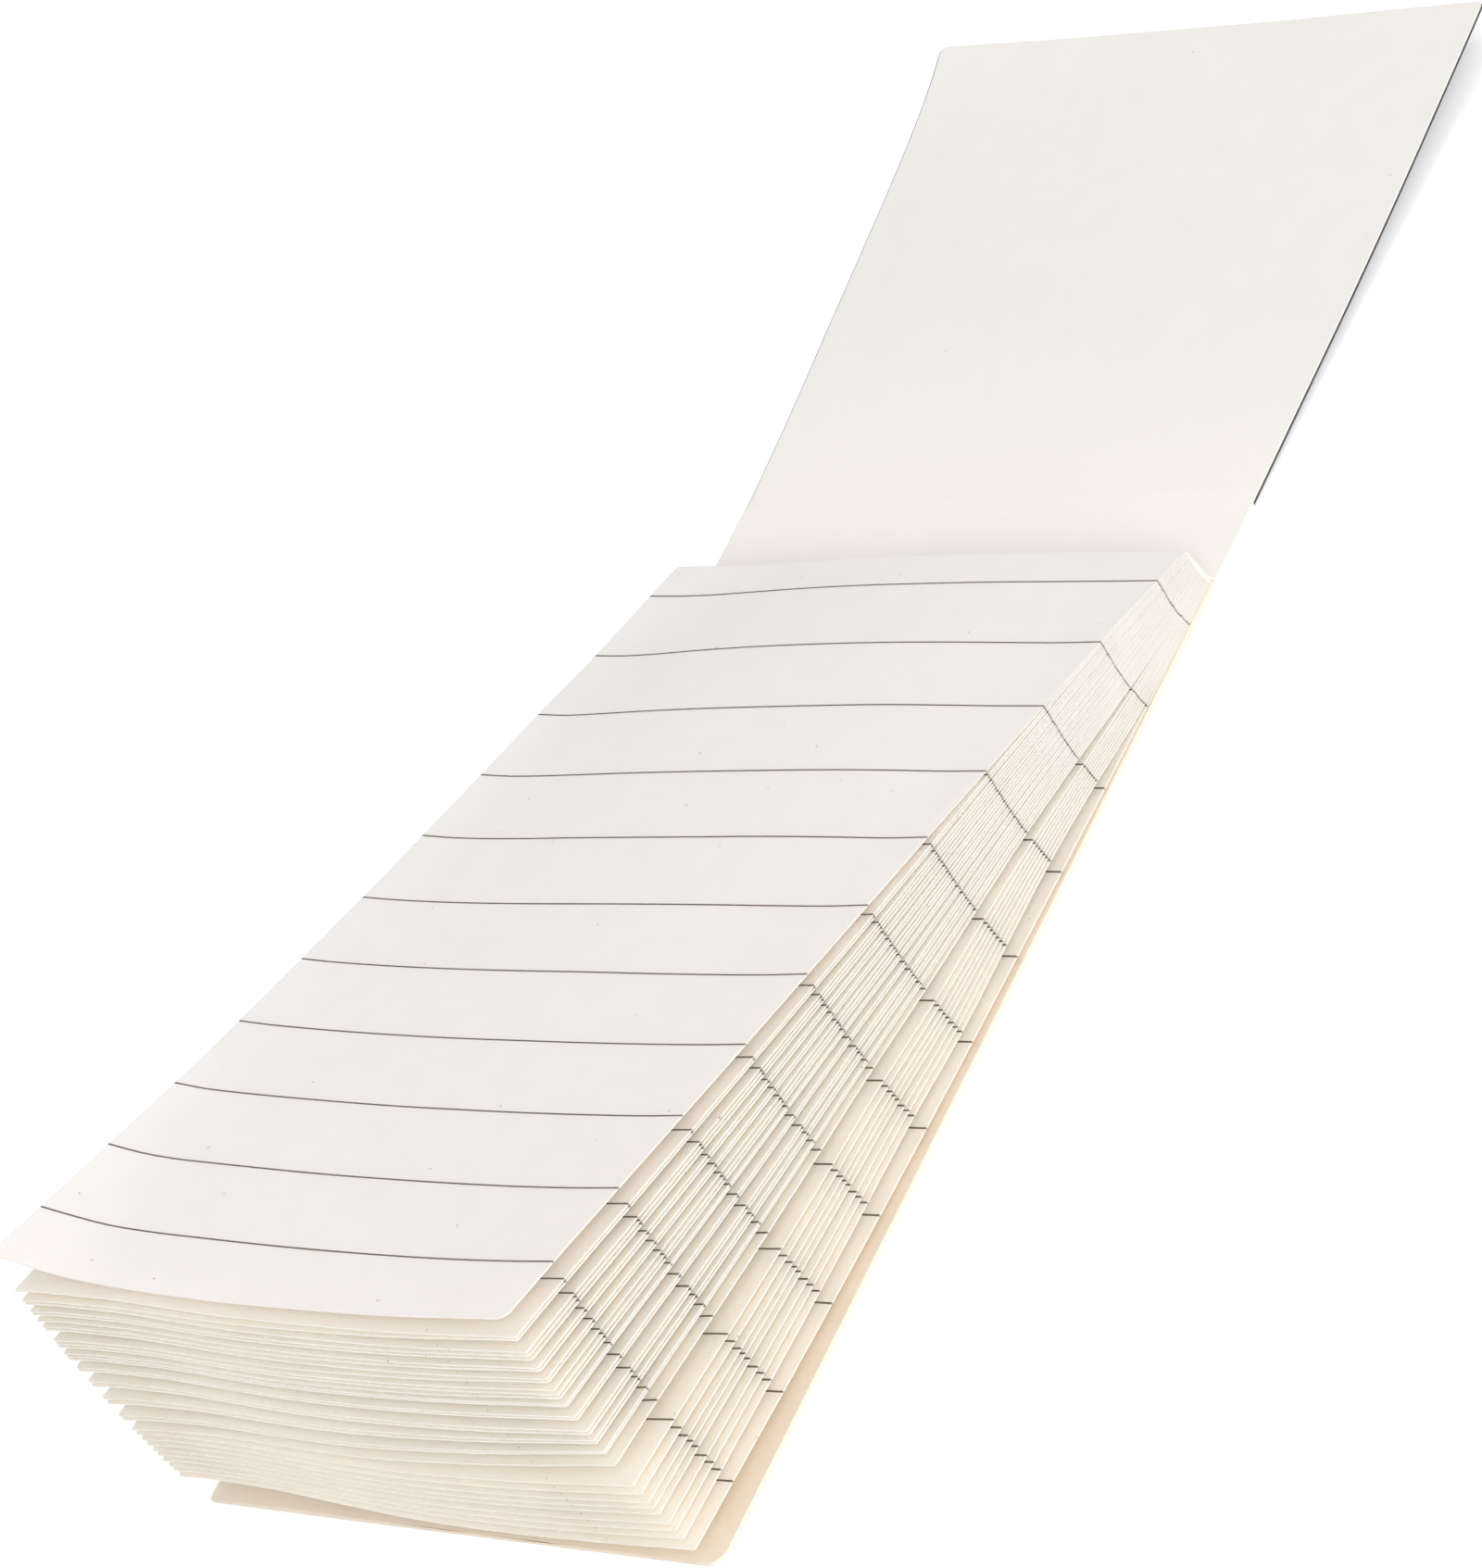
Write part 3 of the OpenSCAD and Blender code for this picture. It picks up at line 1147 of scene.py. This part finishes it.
@dataclass(frozen=True)
class SoftBox:
    """A large square lamp that looks at the notebook."""

    name: str
    towards: tuple[float, float, float]
    distance: float
    side: float
    share: float

    def build(self, target: Vector) -> None:
        """Makes the lamp; share is the part of full light that it gives a surface square to it."""
        data = bpy.data.lights.new(self.name, "AREA")
        data.shape = "SQUARE"
        data.size = self.side
        data.energy = self.share * math.pi**2 * self.distance**2
        lamp = add_object(self.name, data)
        away = Vector(self.towards).normalized()
        lamp.location = target + away * self.distance
        lamp.rotation_euler = (-away).to_track_quat("-Z", "Y").to_euler()


@dataclass
class Studio:
    """Plain white table, soft light and the camera."""

    table_side: float = 4.0
    table: TableFinish = TableFinish("table_white", (233, 233, 233), 0.4)
    dome: float = 0.56
    boxes: tuple[SoftBox, ...] = (
        SoftBox("key_box", (0.70, -0.38, 0.60), 1.1, 0.6, 0.46),
        SoftBox("low_right_box", (0.90, -0.35, 0.24), 1.1, 0.4, 0.32),
        SoftBox("low_near_box", (0.30, -0.92, 0.24), 1.1, 0.4, 0.03),
        SoftBox("top_box", (0.0, 0.3, 0.95), 1.1, 0.6, 0.155),
    )
    target: tuple[float, float, float] = (0.0, 0.01, 0.01)
    camera_mm: tuple[float, float, float] = (386.02, -197.92, 309.75)
    look: tuple[float, float, float] = (-0.72195, 0.40491, -0.5611)
    up: tuple[float, float, float] = (-0.00427, 0.80829, 0.58877)
    focal_pixels: float = 7300.0
    image_height: float = 1693.0
    sensor: float = 36.0
    clip: tuple[float, float] = (0.01, 20.0)
    bounces: int = 20

    def build(self) -> None:
        """Makes the table, the lamps, the sky and the camera."""
        self.build_table()
        for box in self.boxes:
            box.build(Vector(self.target))
        self.build_sky()
        self.build_camera()
        bpy.context.scene.view_settings.view_transform = "Standard"
        paths = bpy.context.scene.cycles
        paths.diffuse_bounces = paths.transmission_bounces = paths.max_bounces = self.bounces

    def build_table(self) -> None:
        """Makes the table top."""
        mesh = bpy.data.meshes.new("table_top")
        half = self.table_side / 2
        corners = [(-half, -half, 0), (half, -half, 0), (half, half, 0), (-half, half, 0)]
        mesh.from_pydata(corners, [], [(0, 1, 2, 3)])
        mesh.materials.append(self.table.material())
        add_object("table_top", mesh)

    def build_sky(self) -> None:
        """Makes a soft even sky that the camera sees as white."""
        g = Graph(bpy.data.worlds.new("soft_sky"))
        level = g.add("ShaderNodeMapRange", {"Value": g.seen(), "To Min": self.dome, "To Max": 1.0})
        sky = g.add("ShaderNodeBackground", {"Color": WHITE, "Strength": level.outputs["Result"]})
        bpy.context.scene.world = g.finish(sky, "ShaderNodeOutputWorld")

    def build_camera(self) -> None:
        """Makes the camera that takes the main view."""
        data = bpy.data.cameras.new("main_camera")
        data.sensor_width = self.sensor
        data.lens = self.focal_pixels * self.sensor / self.image_height
        data.clip_start, data.clip_end = self.clip
        camera = add_object("main_camera", data)
        look = Vector(self.look).normalized()
        right = look.cross(Vector(self.up)).normalized()
        turn = Matrix((right, right.cross(look), -look)).transposed()
        camera.matrix_world = Matrix.Translation(Vector(self.camera_mm) * MM) @ turn.to_4x4()
        bpy.context.scene.camera = camera


def main() -> None:
    """Builds the notebook's pieces in order, then the studio."""
    logging.basicConfig(level=logging.INFO, format="%(name)s: %(message)s")
    # Lit and shaded copies of one paper: the inner leaves' copy is painted lighter and warmer as painted
    # light in their shaded gaps, the top leaf's darker and cooler as painted shade on its open face
    leaf_paper = PaperFinish(
        "ivory_paper_painted_light", (253, 251, 245), (252, 249, 243), dot=(18.8, 90.0, 0.06)
    ).material()
    top_paper = PaperFinish("top_leaf_paper_painted_shade", (251, 248, 246), (249, 246, 243), glow=0.12).material()
    lining_paper = PaperFinish(
        "lining_paper",
        (237, 234, 230),
        (235, 231, 227),
        speck_share=0.1,
        glow=0.0,
        fold_shade=(243, 238, 232),
    ).material()
    fine = [
        InkFinish("rule_ink", (98, 82, 66), (124, 109, 95)).material(),
        InkFinish("rule_end_ink", (150, 140, 130), (186, 178, 168)).material(),
        # Copies of the leaf paper for the cut sides, painted darker as painted shade, and for the loose
        # edges, painted lighter than the sides as painted light
        PaperFinish("cut_side_paper_painted_shade", (230, 226, 220), (227, 222, 215), tooth=0.1, glow=0.1).material(),
        PaperFinish("loose_edge_paper_painted_light", (246, 243, 238), (243, 240, 234), tooth=0.1, glow=0.1).material(),
    ]
    back_card = FibreFinish("back_card", (239, 228, 214), (229, 215, 197), (236, 224, 208)).material()
    strip_card = FibreFinish(
        "strip_card", (245, 240, 235), (240, 233, 226), (243, 238, 232), fibre_share=0.15
    ).material()
    covering = BoardFinish("dark_covering", (54, 53, 52), (70, 69, 68)).material()
    glue = GlueFinish("dried_glue", (229, 224, 216), (236, 232, 226)).material()

    leaves = LeafBlock()
    leaves.build(leaf_paper, top_paper, fine)
    GluedEdge(leaves).build(glue)
    BackCover().build(back_card)
    SpineStrip().build(strip_card)
    FrontCover().build(covering, lining_paper)
    Studio().build()


if __name__ == "__main__":
    main()
